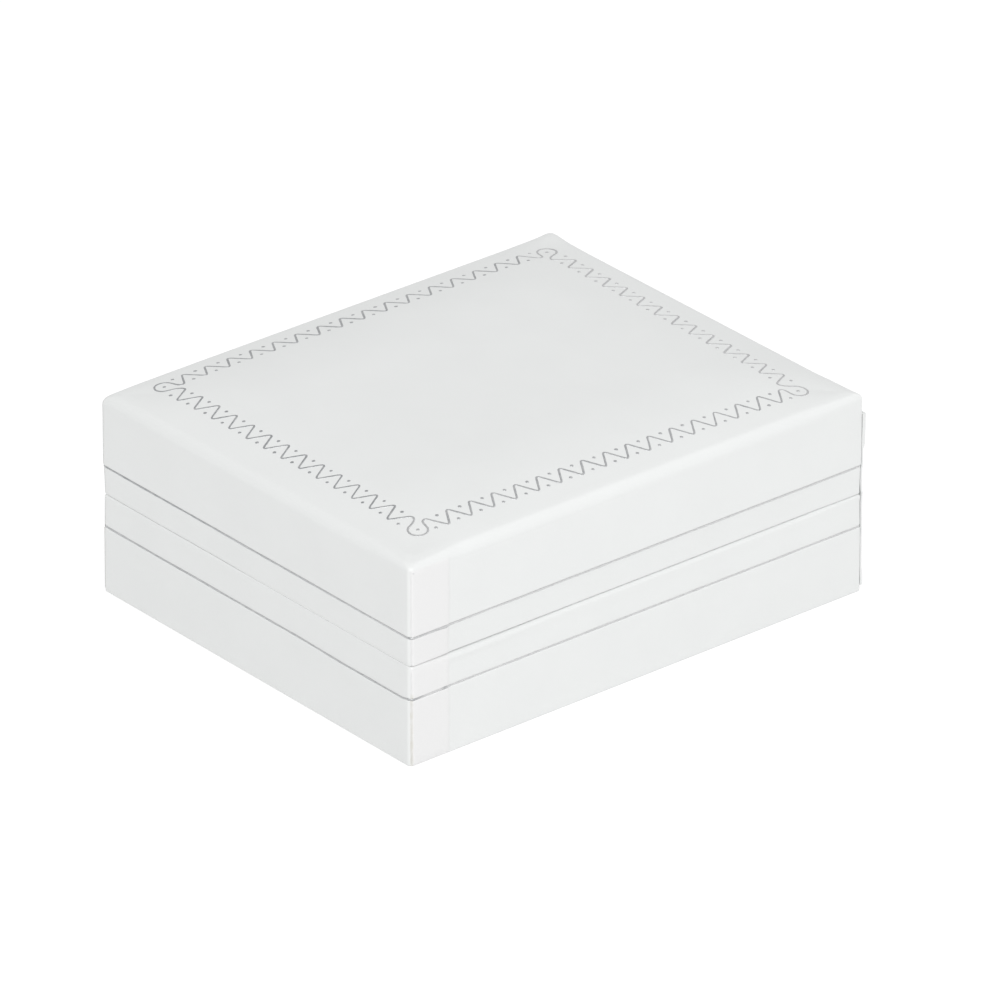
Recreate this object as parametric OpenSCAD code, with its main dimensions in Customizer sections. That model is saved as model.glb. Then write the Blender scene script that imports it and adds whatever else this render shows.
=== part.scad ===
// Jewellery gift box: leatherette-covered clamshell case with a snap-hinged padded lid and a velvet insert.
// Millimetres. Origin at the middle of the underside, +X along the hinge line, +Y to the hinge, +Z up.

/* [Case] */
// Width along the hinge line
case_w = 73; // [60:0.5:100]
// Depth from the opening edge to the hinge side
case_d = 88; // [70:0.2:120]
// Height of the seam between base and lid
seam_z = 16.6; // [12:0.1:25]
// Height of the flat middle of the padded lid
top_z = 35.4; // [28:0.05:50]
// Gap between the closed rims
seam_gap = 0.2; // [0.1:0.05:0.5]

/* [Edges] */
// Radius of the upright corners
corner_r = 0.6; // [0.5:0.1:3]
// Radius of the lid's top edge
shoulder_r = 1.8; // [0.8:0.1:4]
// How far in from each side the lid's crown becomes flat
crown_run = 20; // [10:1:30]
// Height where the lid's side walls start to round over
shoulder_z = 31.88; // [25:0.01:45]
// Radius of the base's upper outer edge
base_edge_r = 1.0; // [0.5:0.1:2]
// Radius of the lid's lower outer edge
lid_edge_r = 0.4; // [0.3:0.1:1]

/* [Thicknesses] */
// Leatherette covering
skin_t = 0.45; // [0.3:0.05:0.8]
// Moulded shell
wall_t = 1.4; // [1:0.1:2.5]
// Wall liners
liner_t = 0.6; // [0.4:0.1:1]
// Leatherette turned in over each rim
turn_in = 5; // [3:0.5:8]

/* [Foil] */
// Height of the line on the lid
lid_line_z = 21.4; // [18:0.1:30]
// Height of the line on the base
base_line_z = 11.25; // [3:0.05:16]
// Width of the two side lines
line_w = 0.45; // [0.2:0.05:1]
// Border inset from the left and right sides
border_ix = 6.2; // [4:0.1:12]
// Border inset from the front and back
border_iy = 7.3; // [4:0.1:12]
// Border waves on each short side
waves_x = 13; // [8:1:20]
// Border waves on each long side
waves_y = 16; // [8:1:24]
// Half height of the wave
wave_amp = 1.5; // [1:0.1:3]
// Turn of the border about the middle of the lid, in degrees
border_turn = -0.95; // [-2:0.05:2]
// Border moved to the right
border_x = -0.4; // [-1:0.1:1]
// Border moved to the back
border_y = 0.5; // [-1:0.1:1]
// Width of the wave's line
wave_w = 0.34; // [0.2:0.02:0.6]
// Diameter of the dots
dot_d = 0.56; // [0.3:0.02:1]
// Foil thickness
foil_t = 0.06; // [0.04:0.01:0.15]

/* [Insert] */
// Height of the velvet pad's top
insert_top = 13.6; // [10:0.1:16]
// Spacing of the earring holes
earring_gap = 22; // [10:1:40]
// Lowest point of the satin puff in the lid
puff_low = 26.4; // [22:0.1:30]

/* [Hinge] */
// Half the hinge's length
hinge_half = 25; // [15:1:30]
// Hinge wire radius
pin_r = 0.5; // [0.4:0.05:0.8]
// Knuckle radius
knuckle_r = 0.95; // [0.8:0.05:1.4]

/* [Hidden] */
$fn = 72;
e = 0.01;
rim_base = seam_z - seam_gap / 2;
rim_lid = seam_z + seam_gap / 2;
sheet_t = 0.25;
floor_z = sheet_t + skin_t;
floor_top = floor_z + wall_t;
wall_in = skin_t + wall_t;
turn_inset = wall_in + skin_t;
liner_in = turn_inset + liner_t;
shell_top = 32.8;
ceiling_z = shell_top - wall_t;
// the crown's arc meets the shoulder's arc without a kink
crown_rise = top_z - shoulder_z;
run = crown_run - shoulder_r;
crown_r = (run * run + crown_rise * crown_rise - shoulder_r * shoulder_r)
    / (2 * (crown_rise - shoulder_r));
crown_edge = shoulder_r * (1 - run / (crown_r - shoulder_r));
axis_y = case_d / 2 - 0.3;
leaf_t = 0.4;
leaf_y = case_d / 2 - wall_in;
satin_t = 0.4;
card_t = 0.8;
puff_in = liner_in + 0.2;
velvet_t = 0.6;
pad_in = liner_in + 0.4;
pad_r = 1.5;
card_top = floor_top + velvet_t + 1;

// ---------- shared shapes ----------

// Rectangle with rounded corners, inset from the case outline.
module outline(inset) {
    w = case_w - 2 * inset;
    d = case_d - 2 * inset;
    r = max(corner_r - inset, 0);
    if (r > 0.05) {
        square([w - 2 * r, d], center = true);
        square([w, d - 2 * r], center = true);
        for (x = [-1, 1], y = [-1, 1])
            translate([x * (w / 2 - r), y * (d / 2 - r)])
                circle(r);
    } else {
        square([w, d], center = true);
    }
}

module slab(inset, z0, z1) {
    translate([0, 0, z0])
        linear_extrude(z1 - z0)
            outline(inset);
}

module ring(outer, inner, z0, z1) {
    difference() {
        slab(outer, z0, z1);
        slab(inner, z0 - 1, z1 + 1);
    }
}

// One side view of the lid, offset inwards by t. The flat middle runs into the crown and the shoulder.
module lid_view(span, t, z0) {
    flat = span / 2 - crown_run;
    translate([-flat, z0])
        square([2 * flat, top_z - t - z0]);
    for (s = [-1, 1]) {
        intersection() {
            translate([s * flat, top_z - crown_r])
                circle(crown_r - t, $fn = 720);
            translate([s > 0 ? flat - 1 : -span / 2 + crown_edge, z0])
                square([crown_run - crown_edge + 1, top_z]);
        }
        if (t < shoulder_r) {
            translate([s * (span / 2 - shoulder_r), shoulder_z])
                circle(shoulder_r - t);
            translate([s > 0 ? flat : -span / 2 + t, z0])
                square([crown_run - t, shoulder_z - z0]);
        }
    }
}

module lid_form(t, z0) {
    intersection() {
        rotate([90, 0, 0])
            linear_extrude(case_d + 2, center = true)
                lid_view(case_w, t, z0);
        rotate([90, 0, 90])
            linear_extrude(case_w + 2, center = true)
                lid_view(case_d, t, z0);
        slab(t, z0, top_z);
    }
}

// Cuts a rounded edge along the four sides of a rim: up = 1 for a rim that faces up.
module rim_round(z, r, up) {
    for (a = [0, 90, 180, 270]) {
        half = (a % 180 == 0 ? case_d : case_w) / 2;
        rotate([0, 0, a])
            translate([0, half - r, z - up * r])
                rotate([90, 0, 90])
                    linear_extrude(case_d + 4, center = true)
                        difference() {
                            translate([0, up > 0 ? 0 : -r - 1])
                                square([r + 1, r + 1]);
                            circle(r);
                        }
    }
}

// Room for the hinge in the two back walls.
module hinge_room() {
    translate([-hinge_half - 0.6, leaf_y - leaf_t, seam_z - 1.2])
        cube([2 * hinge_half + 1.2, 5, 2.4]);
}

// Room for one hinge leaf behind the turned-in leatherette: up = 1 in the lid.
module leaf_room(up) {
    translate([-hinge_half - 0.3, leaf_y - skin_t - e, up > 0 ? seam_z : seam_z - 8.4])
        cube([2 * hinge_half + 0.6, skin_t + e, 8.4]);
}

module spring_window() {
    translate([-9, case_d / 2 - liner_in - 1, seam_z - 6.5])
        cube([18, liner_t + 2, 13]);
}

// ---------- lid ----------

module lid_shell()
    color([0.90, 0.90, 0.88])
        difference() {
            intersection() {
                lid_form(skin_t, rim_lid + skin_t);
                slab(0, rim_lid, shell_top);
            }
            slab(wall_in, rim_lid - 1, ceiling_z);
            hinge_room();
        }

module lid_cover()
    color([0.93, 0.94, 0.94])
        difference() {
            union() {
                difference() {
                    lid_form(0, rim_lid);
                    lid_form(skin_t, rim_lid + skin_t);
                    slab(turn_inset, rim_lid - 1, rim_lid + 1);
                }
                ring(wall_in, turn_inset, rim_lid, rim_lid + turn_in);
            }
            rim_round(rim_lid, lid_edge_r, -1);
            side_line(lid_line_z, -1, 0.12);
            hinge_room();
            leaf_room(1);
        }

module lid_top_pad()
    color([0.96, 0.96, 0.93])
        difference() {
            lid_form(skin_t, shell_top);
            translate([0, 0, shell_top - 1])
                cube([case_w * 2, case_d * 2, 2], center = true);
        }

module lid_lining_card()
    color([0.92, 0.90, 0.86])
        slab(puff_in + satin_t, ceiling_z - card_t, ceiling_z);

// Side view of a pad whose free edges are rounded: the rounded face is at z1 for up = 1, at z0 for up = -1.
module pad_view(span, inset, z0, z1, r, up) {
    half = span / 2 - inset;
    face = up > 0 ? z1 : z0;
    intersection() {
        translate([-half, z0])
            square([2 * half, z1 - z0]);
        union() {
            translate([-half + r, z0])
                square([2 * half - 2 * r, z1 - z0]);
            for (s = [-1, 1]) {
                translate([s * (half - r), face - up * r])
                    circle(r);
                translate([s > 0 ? half - r : -half, up > 0 ? z0 : z0 + r])
                    square([r, z1 - z0 - r]);
            }
        }
    }
}

module pad_form(inset, z0, z1, r, up)
    intersection() {
        rotate([90, 0, 0])
            linear_extrude(case_d, center = true)
                pad_view(case_w, inset, z0, z1, r, up);
        rotate([90, 0, 90])
            linear_extrude(case_w, center = true)
                pad_view(case_d, inset, z0, z1, r, up);
    }

module lid_lining_wadding()
    color([0.97, 0.97, 0.95])
        pad_form(puff_in + satin_t, puff_low + satin_t, ceiling_z - card_t, 2.6, -1);

module lid_lining_satin()
    color([0.95, 0.94, 0.91])
        difference() {
            pad_form(puff_in, puff_low, ceiling_z, 3, -1);
            pad_form(puff_in + satin_t, puff_low + satin_t, ceiling_z - card_t, 2.6, -1);
            slab(puff_in + satin_t, ceiling_z - card_t, ceiling_z + 1);
        }

module lid_wall_liner()
    color([0.94, 0.93, 0.90])
        difference() {
            ring(turn_inset, liner_in, rim_lid + 0.3, ceiling_z);
            spring_window();
        }

// ---------- foil ----------

// A line round the front and both sides. The strip on the back covers the rest of the wall.
module side_line(z, outer, inner)
    difference() {
        ring(outer, inner, z - line_w / 2, z + line_w / 2);
        translate([-case_w, case_d / 2 - 1, z - 5])
            cube([2 * case_w, 20, 10]);
    }

module lid_foil_line()
    color([0.62, 0.63, 0.65])
        side_line(lid_line_z, 0.02, 0.12);

module base_foil_line()
    color([0.62, 0.63, 0.65])
        side_line(base_line_z, 0.02, 0.12);

// The border's path is drawn for one quarter turn at a time: along a side, then round the corner loop.
bx = case_w / 2 - border_ix;
by = case_d / 2 - border_iy;
// distance from each corner dot to the first outer dot of the short and the long sides
lead_x = 3.1;
lead_y = 2.45;
loop_r = 1.5;
steps = 10;
function rounded_wave(a) = (cos(a) + 0.07 * cos(3 * a)) / 1.07;
function side_path(half, lead, n) = [
    for (i = [0 : n * steps])
        [-half + lead + i * (2 * half - 2 * lead) / (n * steps), -wave_amp * rounded_wave(i * 360 / steps)]
];
function bezier(p, q, r, s, t) =
    p * pow(1 - t, 3) + 3 * q * t * pow(1 - t, 2) + 3 * r * t * t * (1 - t) + s * pow(t, 3);
// From the last dip of a side into the corner loop, with the loop's centre at the origin.
loop_in = [-loop_r * cos(20), loop_r * sin(20)];
function leg(lead, t) = bezier(
    [-lead, -wave_amp], [-lead + 0.9, -wave_amp],
    loop_in - 0.8 * [sin(20), cos(20)], loop_in, t
);
function corner_path(lead_in, lead_out) = concat(
    [for (i = [1 : 6]) leg(lead_in, i / 6)],
    [for (i = [1 : 23]) [loop_r * cos(160 - i * 230 / 24), loop_r * sin(160 - i * 230 / 24)]],
    [for (i = [6 : -1 : 1]) let (p = leg(lead_out, i / 6)) [p[1], p[0]]]
);
function turn(p, k) = [p[0] * cos(90 * k) + p[1] * sin(90 * k), p[1] * cos(90 * k) - p[0] * sin(90 * k)];
function quarter(k) =
    let (short = k % 2 == 0)
    let (hx = short ? bx : by, hy = short ? by : bx, n = short ? waves_x : waves_y)
    let (here = short ? lead_x : lead_y, next = short ? lead_y : lead_x)
    concat(
        [for (p = side_path(hx, here, n)) turn([p[0], p[1] + hy], k)],
        [for (p = corner_path(here, next)) turn([p[0] + hx, p[1] + hy], k)]
    );
path = concat(quarter(0), quarter(1), quarter(2), quarter(3));
function normal(i) =
    let (n = len(path), d = path[(i + 1) % n] - path[(i + n - 1) % n])
    [-d[1], d[0]] / norm(d);

module wave_outline() {
    n = len(path);
    outer = [for (i = [0 : n - 1]) path[i] + normal(i) * wave_w / 2];
    inner = [for (i = [0 : n - 1]) path[i] - normal(i) * wave_w / 2];
    polygon(concat(outer, inner), paths = [[for (i = [0 : n - 1]) i], [for (i = [0 : n - 1]) n + i]]);
}

module foil_layer()
    difference() {
        intersection() {
            lid_form(-foil_t, shell_top);
            translate([border_x, border_y])
                rotate([0, 0, border_turn])
                    children();
        }
        lid_form(0, shell_top - 1);
    }

module lid_border_wave()
    color([0.58, 0.59, 0.61])
        foil_layer()
            translate([0, 0, shell_top])
                linear_extrude(5)
                    wave_outline();

module dot(x, y)
    translate([x, y, shell_top])
        cylinder(h = 5, d = dot_d);

module lid_border_dots()
    color([0.58, 0.59, 0.61])
        foil_layer() {
            dots = 1.2;
            step_x = (2 * bx - 2 * lead_x) / waves_x;
            step_y = (2 * by - 2 * lead_y) / waves_y;
            union() {
                for (s = [-1, 1], u = [-1, 1])
                    dot(s * bx, u * by);
                for (s = [-1, 1], i = [0 : waves_x])
                    dot(-bx + lead_x + i * step_x, s * (by + dots));
                for (s = [-1, 1], i = [0.5 : waves_x])
                    dot(-bx + lead_x + i * step_x, s * (by - dots));
                for (s = [-1, 1], i = [0 : waves_y])
                    dot(s * (bx + dots), -by + lead_y + i * step_y);
                for (s = [-1, 1], i = [0.5 : waves_y])
                    dot(s * (bx - dots), -by + lead_y + i * step_y);
            }
        }

// ---------- base ----------

module base_shell()
    color([0.90, 0.90, 0.88])
        difference() {
            slab(skin_t, floor_z, rim_base - skin_t);
            slab(wall_in, floor_top, seam_z + 1);
            hinge_room();
        }

module base_cover()
    color([0.93, 0.94, 0.94])
        difference() {
            union() {
                difference() {
                    slab(0, sheet_t, rim_base);
                    slab(skin_t, floor_z, rim_base - skin_t);
                    slab(7, sheet_t - 1, floor_z + 1);
                    slab(turn_inset, rim_base - 1, rim_base + 1);
                }
                ring(wall_in, turn_inset, rim_base - turn_in, rim_base);
            }
            rim_round(rim_base, base_edge_r, 1);
            rim_round(sheet_t, 0.3, -1);
            side_line(base_line_z, -1, 0.12);
            hinge_room();
            leaf_room(-1);
        }

module base_bottom_sheet()
    color([0.88, 0.87, 0.84])
        slab(1.5, 0, sheet_t);

module base_wall_liner()
    color([0.92, 0.91, 0.88])
        difference() {
            ring(turn_inset, liner_in, floor_top, rim_base - 0.3);
            spring_window();
        }

// ---------- insert ----------

module insert_cuts(depth) {
    // two earring holes
    for (s = [-1, 1])
        translate([s * earring_gap / 2, 4, insert_top - depth])
            cylinder(h = depth + 1, d = 1.4);
    // tongue that holds a pendant's bail
    translate([-7, -14, insert_top - depth])
        cube([0.5, 14, depth + 1]);
    translate([6.5, -14, insert_top - depth])
        cube([0.5, 14, depth + 1]);
    translate([-7, -14.5, insert_top - depth])
        cube([14, 0.5, depth + 1]);
    // two slits for a chain
    for (s = [-1, 1])
        translate([s * 13, 27, insert_top - depth])
            rotate([0, 0, s * 35])
                translate([-4, -0.25, 0])
                    cube([8, 0.5, depth + 1]);
}

module insert_card()
    color([0.90, 0.88, 0.84])
        slab(pad_in + velvet_t, floor_top + velvet_t, card_top);

module insert_foam()
    color([0.96, 0.96, 0.90])
        difference() {
            pad_form(pad_in + velvet_t, card_top, insert_top - velvet_t, pad_r - velvet_t, 1);
            insert_cuts(5);
        }

module insert_velvet()
    color([0.93, 0.92, 0.90])
        difference() {
            pad_form(pad_in, floor_top, insert_top, pad_r, 1);
            pad_form(pad_in + velvet_t, floor_top + velvet_t, insert_top - velvet_t, pad_r - velvet_t, 1);
            slab(pad_in + 8, floor_top - 1, floor_top + 1);
            insert_cuts(2);
        }

// ---------- hinge ----------

module knuckle(x0, x1)
    translate([x0, axis_y, seam_z])
        rotate([0, 90, 0])
            cylinder(h = x1 - x0, r = knuckle_r);

module pin_hole()
    translate([-hinge_half - 1, axis_y, seam_z])
        rotate([0, 90, 0])
            cylinder(h = 2 * hinge_half + 2, r = pin_r + 0.04);

// A leaf drawn for the base: plate inside the wall, straps over the wall and rolled knuckles on the wire.
module leaf(a, b) {
    difference() {
        union() {
            translate([-hinge_half, leaf_y - leaf_t, seam_z - 8])
                cube([2 * hinge_half, leaf_t, 8 - knuckle_r + leaf_t]);
            for (s = [-1, 1]) {
                x0 = s > 0 ? a : -b;
                translate([x0, leaf_y - leaf_t, seam_z - knuckle_r])
                    cube([b - a, axis_y - leaf_y + leaf_t, leaf_t]);
                knuckle(x0, x0 + b - a);
            }
        }
        pin_hole();
        // two pressed holes where barbs bite the shell
        for (s = [-1, 1])
            translate([s * 17, leaf_y + 1, seam_z - 5])
                rotate([90, 0, 0])
                    cylinder(h = 3, d = 2);
    }
}

module hinge_leaf_base()
    color([0.74, 0.75, 0.76])
        leaf(18.8, hinge_half);

module hinge_leaf_lid()
    color([0.74, 0.75, 0.76])
        translate([0, 0, seam_z])
            mirror([0, 0, 1])
                translate([0, 0, -seam_z])
                    leaf(9, 18.5);

module hinge_pin()
    color([0.80, 0.80, 0.82])
        translate([-hinge_half - 0.3, axis_y, seam_z])
            rotate([0, 90, 0])
                cylinder(h = 2 * hinge_half + 0.6, r = pin_r);

// Sprung wire loop that lies against both leaves and snaps the lid open or shut.
module hinge_spring()
    color([0.70, 0.71, 0.73]) {
        r = 0.35;
        y = leaf_y - leaf_t - r - 0.02;
        for (s = [-1, 1])
            translate([s * 6, y, seam_z - 5])
                cylinder(h = 10, r = r);
        for (z = [-5, 5]) {
            translate([-6, y, seam_z + z])
                rotate([0, 90, 0])
                    cylinder(h = 12, r = r);
            for (s = [-1, 1])
                translate([s * 6, y, seam_z + z])
                    sphere(r);
        }
    }

module spine_strip()
    color([0.92, 0.93, 0.93]) {
        translate([-case_w / 2 + 0.2, case_d / 2 + 0.03, 1])
            cube([case_w - 0.4, 0.35, seam_z - 2.5]);
        translate([-case_w / 2 + 0.2, case_d / 2 + 0.03, seam_z + 1.5])
            cube([case_w - 0.4, 0.35, 30 - seam_z - 1.5]);
        // over the seam it stands off the knuckles
        translate([-case_w / 2 + 0.2, 0, 0])
            rotate([90, 0, 90])
                linear_extrude(case_w - 0.4)
                    difference() {
                        translate([case_d / 2 + 0.03, seam_z - 1.6])
                            square([0.95, 3.2]);
                        translate([axis_y, seam_z])
                            circle(knuckle_r + 0.06);
                    }
    }

lid_shell();
lid_cover();
lid_top_pad();
lid_border_wave();
lid_border_dots();
lid_foil_line();
lid_lining_card();
lid_lining_wadding();
lid_lining_satin();
lid_wall_liner();
hinge_leaf_lid();
base_shell();
base_cover();
base_bottom_sheet();
base_foil_line();
base_wall_liner();
insert_card();
insert_foam();
insert_velvet();
hinge_leaf_base();
hinge_pin();
hinge_spring();
spine_strip();
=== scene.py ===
"""Jewellery gift box: leatherette clamshell with foil border, satin puff in the lid and a velvet insert."""
import math

import bmesh
import bpy
import numpy as np
from mathutils import Matrix, Vector, noise


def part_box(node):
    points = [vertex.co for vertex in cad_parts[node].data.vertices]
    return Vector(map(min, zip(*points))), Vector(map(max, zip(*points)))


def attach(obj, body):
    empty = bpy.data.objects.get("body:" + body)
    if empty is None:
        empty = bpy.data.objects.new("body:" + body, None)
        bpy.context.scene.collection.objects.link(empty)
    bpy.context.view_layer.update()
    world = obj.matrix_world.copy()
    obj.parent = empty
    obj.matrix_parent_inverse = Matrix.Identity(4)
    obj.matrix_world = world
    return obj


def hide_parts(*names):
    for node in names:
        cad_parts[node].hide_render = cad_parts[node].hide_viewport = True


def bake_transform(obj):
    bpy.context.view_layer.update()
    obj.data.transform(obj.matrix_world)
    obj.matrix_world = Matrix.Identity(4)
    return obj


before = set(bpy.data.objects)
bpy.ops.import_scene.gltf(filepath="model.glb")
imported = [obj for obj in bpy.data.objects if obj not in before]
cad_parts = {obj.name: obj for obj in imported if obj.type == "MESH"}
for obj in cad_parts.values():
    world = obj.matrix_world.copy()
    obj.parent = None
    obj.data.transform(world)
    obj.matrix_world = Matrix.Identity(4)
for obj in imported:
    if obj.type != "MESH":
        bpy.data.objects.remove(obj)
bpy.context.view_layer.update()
MM = 0.001


def box_mm(node):
    low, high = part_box(node)
    return np.array(low) / MM, np.array(high) / MM


def middle(node, axis):
    return sum(corner[axis] for corner in box_mm(node)) / 2


# ---------- sizes, in millimetres, taken from the CAD frame ----------

lid_low, lid_high = box_mm("lid_cover")
base_low, base_high = box_mm("base_cover")
W = lid_high[0] - lid_low[0]
D = lid_high[1] - lid_low[1]
TOP = lid_high[2]
SEAM = (lid_low[2] + base_high[2]) / 2
SEAM_OPEN = 0.036  # the visible gap, narrower than the CAD's, which is a clearance
RIM_LID = SEAM + SEAM_OPEN / 2
RIM_BASE = SEAM - SEAM_OPEN / 2
UNDER = base_low[2]
LID_LINE = middle("lid_foil_line", 2) - 0.09
BASE_LINE = middle("base_foil_line", 2) - 0.12
SHELL_TOP = box_mm("lid_shell")[1][2]
SHOULDER_Z = 31.88  # where the lid's wall starts to turn into its top
SHOULDER_R = 1.8
SHOULDER_LIFT = 0.81  # how much higher the wall ends for each mm that the shoulder is tighter
CROWN_RUN = 20.0  # how far in from a side the crown reaches
CROWN_JOIN = 1.63  # the power with which the falls from two sides join in a corner
SKIN = 0.45  # the leatherette's thickness
TURN_INSET = 2.3  # where the turned-in leatherette lies inside the walls
TURN_IN = 5.0
TURN_UNDER = 7.0  # the part of the base's leatherette under the floor
CORNER_R = 0.55
LID_BAND, BASE_BAND = 0.15, 0.05  # how far the walls beside the seam are set in
LID_RIM_R = 0.14
ON_WALL = 0.6  # a row with a smaller inset than this is on the outside of a wall
SEAM_CLOSES = 0.017  # how far each rim moves where the seam is closed
# how round each upright corner is: front left, front right, back left, back right
CORNER_SHARE = {(-1, -1): 0.9, (1, -1): 1.5, (-1, 1): 1.0, (1, 1): 0.35}
FLAP_Y = 7.4  # the length of the folded-over flaps beside the front corners
HINGE_HALF = 25.6
SPINE_T = 0.26

crown_rise = TOP - SHOULDER_Z
crown_run = CROWN_RUN - SHOULDER_R
CROWN_R = (crown_run**2 + crown_rise**2 - SHOULDER_R**2) / (2 * (crown_rise - SHOULDER_R))
CROWN_EDGE = SHOULDER_R * (1 - crown_run / (CROWN_R - SHOULDER_R))
GRID_IN = 3.0  # how far in from the sides the top's regular grid ends


def fade(a, b, v):
    """0 before a, 1 after b, smooth between."""
    t = np.clip((v - a) / (b - a), 0, 1)
    return t * t * (3 - 2 * t)


def bell(v, width):
    """1 at 0, falling smoothly to nothing beyond about twice the width."""
    return np.exp(-((v / width) ** 2))


def turned(x, y, a):
    return x * math.cos(a) - y * math.sin(a), x * math.sin(a) + y * math.cos(a)


def soft_noise(p, scale, seed=0.0):
    """Smooth noise from about -1 to 1 at points p in mm, with features about scale mm wide."""
    p = np.asarray(p, float).reshape(-1, 3) / scale + seed
    return np.array([noise.noise(Vector(q)) for q in p]) * 1.6


# ---------- the lid's surface ----------

def drop(inset):
    """How far the crown has fallen at this distance in from one side."""
    run = np.clip(CROWN_RUN - inset, 0, CROWN_RUN - CROWN_EDGE)
    return CROWN_R - np.sqrt(CROWN_R**2 - run**2)


def crown(x, y):
    """(height of the padded top, how much lower the corner is than the sides alone)."""
    a, b = drop(W / 2 - np.abs(x)), drop(D / 2 - np.abs(y))
    both, alone = (a**CROWN_JOIN + b**CROWN_JOIN) ** (1 / CROWN_JOIN), np.maximum(a, b)
    inner = np.minimum(W / 2 - np.abs(x), D / 2 - np.abs(y))
    edge = 0.25 * (1 - fade(-10, 10, y))
    extra = (both - alone) * (edge + (1 - edge) * fade(1.0, 6.5, inner))
    # the leather is bunched a little over the two back corners
    extra = extra - 0.3 * bell(np.hypot(x + W / 2 - 1.8, y - D / 2 + 0.3), 2.3)
    extra = extra - 0.1 * bell(np.hypot(x - W / 2 + 0.2, y - D / 2 + 0.2), 1.4)
    return TOP - alone - extra, extra


def lid_surface(x, y):
    return float(crown(x, y)[0])


# ---------- mesh helpers ----------

def in_scene(name, data):
    made = bpy.data.objects.new(name, data)
    bpy.context.scene.collection.objects.link(made)
    return made


def make_mesh(name, verts, faces, smooth=True):
    mesh = bpy.data.meshes.new(name)
    mesh.from_pydata([tuple(v) for v in np.asarray(verts) * MM], [], faces)
    mesh.update()
    if smooth:
        mesh.polygons.foreach_set("use_smooth", [True] * len(mesh.polygons))
    return in_scene(name, mesh)


def outward(piece):
    bm = bmesh.new()
    bm.from_mesh(piece.data)
    bmesh.ops.recalc_face_normals(bm, faces=bm.faces)
    bm.to_mesh(piece.data)
    bm.free()


def apply_all(piece):
    """Every modifier becomes part of the mesh."""
    graph = bpy.context.evaluated_depsgraph_get()
    graph.update()
    done = bpy.data.meshes.new_from_object(piece.evaluated_get(graph))
    old = piece.data
    name = old.name
    piece.modifiers.clear()
    piece.data = done
    bpy.data.meshes.remove(old)
    done.name = name


def solidify(piece, thickness, offset=-1.0):
    skin = piece.modifiers.new("skin", "SOLIDIFY")
    skin.thickness = thickness * MM
    skin.offset = offset
    skin.use_even_offset = True
    skin.use_quality_normals = True
    apply_all(piece)


def points_of(mesh):
    """The mesh's vertices in its own units."""
    co = np.zeros(len(mesh.vertices) * 3)
    mesh.vertices.foreach_get("co", co)
    return co.reshape(-1, 3)


def move_points(mesh, co):
    mesh.vertices.foreach_set("co", np.ravel(co))
    mesh.update()


def grid_points(gx, gy, z):
    return np.column_stack([gx.ravel(), gy.ravel(), z.ravel()])


def grid_faces(nx, ny):
    """The quads of a grid of nx by ny points, facing up."""
    return [(i * ny + j, (i + 1) * ny + j, (i + 1) * ny + j + 1, i * ny + j + 1)
            for i in range(nx - 1) for j in range(ny - 1)]


def grid_rim(nx, ny):
    """The points round the edge of such a grid: front, right, back, left."""
    rim = [i * ny for i in range(nx - 1)] + [(nx - 1) * ny + j for j in range(ny - 1)]
    return rim + [i * ny + ny - 1 for i in range(nx - 1, 0, -1)] + list(range(ny - 1, 0, -1))


def band_faces(before, after):
    """Quads between two closed loops of points."""
    n = len(before)
    return [(before[(k + 1) % n], before[k], after[k], after[(k + 1) % n]) for k in range(n)]


def tube_faces(n, sides, closed=True):
    """Quads round a tube of n cross-sections."""
    faces = []
    for i in range(n if closed else n - 1):
        a, b = i * sides, (i + 1) % n * sides
        faces += [(a + k, a + (k + 1) % sides, b + (k + 1) % sides, b + k) for k in range(sides)]
    return faces


def directions(path):
    """Unit vectors along a closed path."""
    ahead = np.roll(path, -1, 0) - np.roll(path, 1, 0)
    return ahead / np.linalg.norm(ahead, axis=1)[:, None]


def tint(piece, values, name="tint"):
    layer = piece.data.attributes.get(name) or piece.data.attributes.new(name, "FLOAT", "POINT")
    layer.data.foreach_set("value", np.asarray(values, np.float32))


def columns(half, extra=()):
    """Positions along one side of the top's grid, closer together near the corners."""
    near = [half - c for c in (0, 0.15, 0.3, 0.42, 0.5, 0.58, 0.7, 0.85, 1.0, 1.5, 2.0, 2.6, 3.2, 4.0)]
    both = [round(v, 4) for v in near + list(np.arange(0.5, half - 4.4, 1.0))]
    return np.array(sorted(set([-v for v in both] + both + [round(v, 4) for v in extra])))


FLAP_AT = -(D / 2 - FLAP_Y)
NOTCH_COLUMNS = [s * (HINGE_HALF + o) for s in (-1, 1) for o in (-0.1, 0.1)]
GX = columns(W / 2 - GRID_IN, NOTCH_COLUMNS)
GY = columns(D / 2 - GRID_IN, [FLAP_AT + o for o in (-0.6, -0.4, -0.25, -0.12, 0, 0.12, 0.25, 0.4)])


# the columns of the walls, once round the grid: (side, position along it)
FRONT, RIGHT, BACK, LEFT = range(4)
EDGE = [(FRONT, g) for g in GX[:-1]] + [(RIGHT, g) for g in GY[:-1]]
EDGE += [(BACK, g) for g in GX[:0:-1]] + [(LEFT, g) for g in GY[:0:-1]]


def corner_of(side, g):
    """Which corner this column is nearest to."""
    s = 1 if g >= 0 else -1
    return {FRONT: (s, -1), RIGHT: (1, s), BACK: (s, 1), LEFT: (-1, s)}[side]


def from_corner():
    """Distance of each column from its corner, along the side."""
    return np.array([(W if side in (FRONT, BACK) else D) / 2 - abs(g) for side, g in EDGE])


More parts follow.
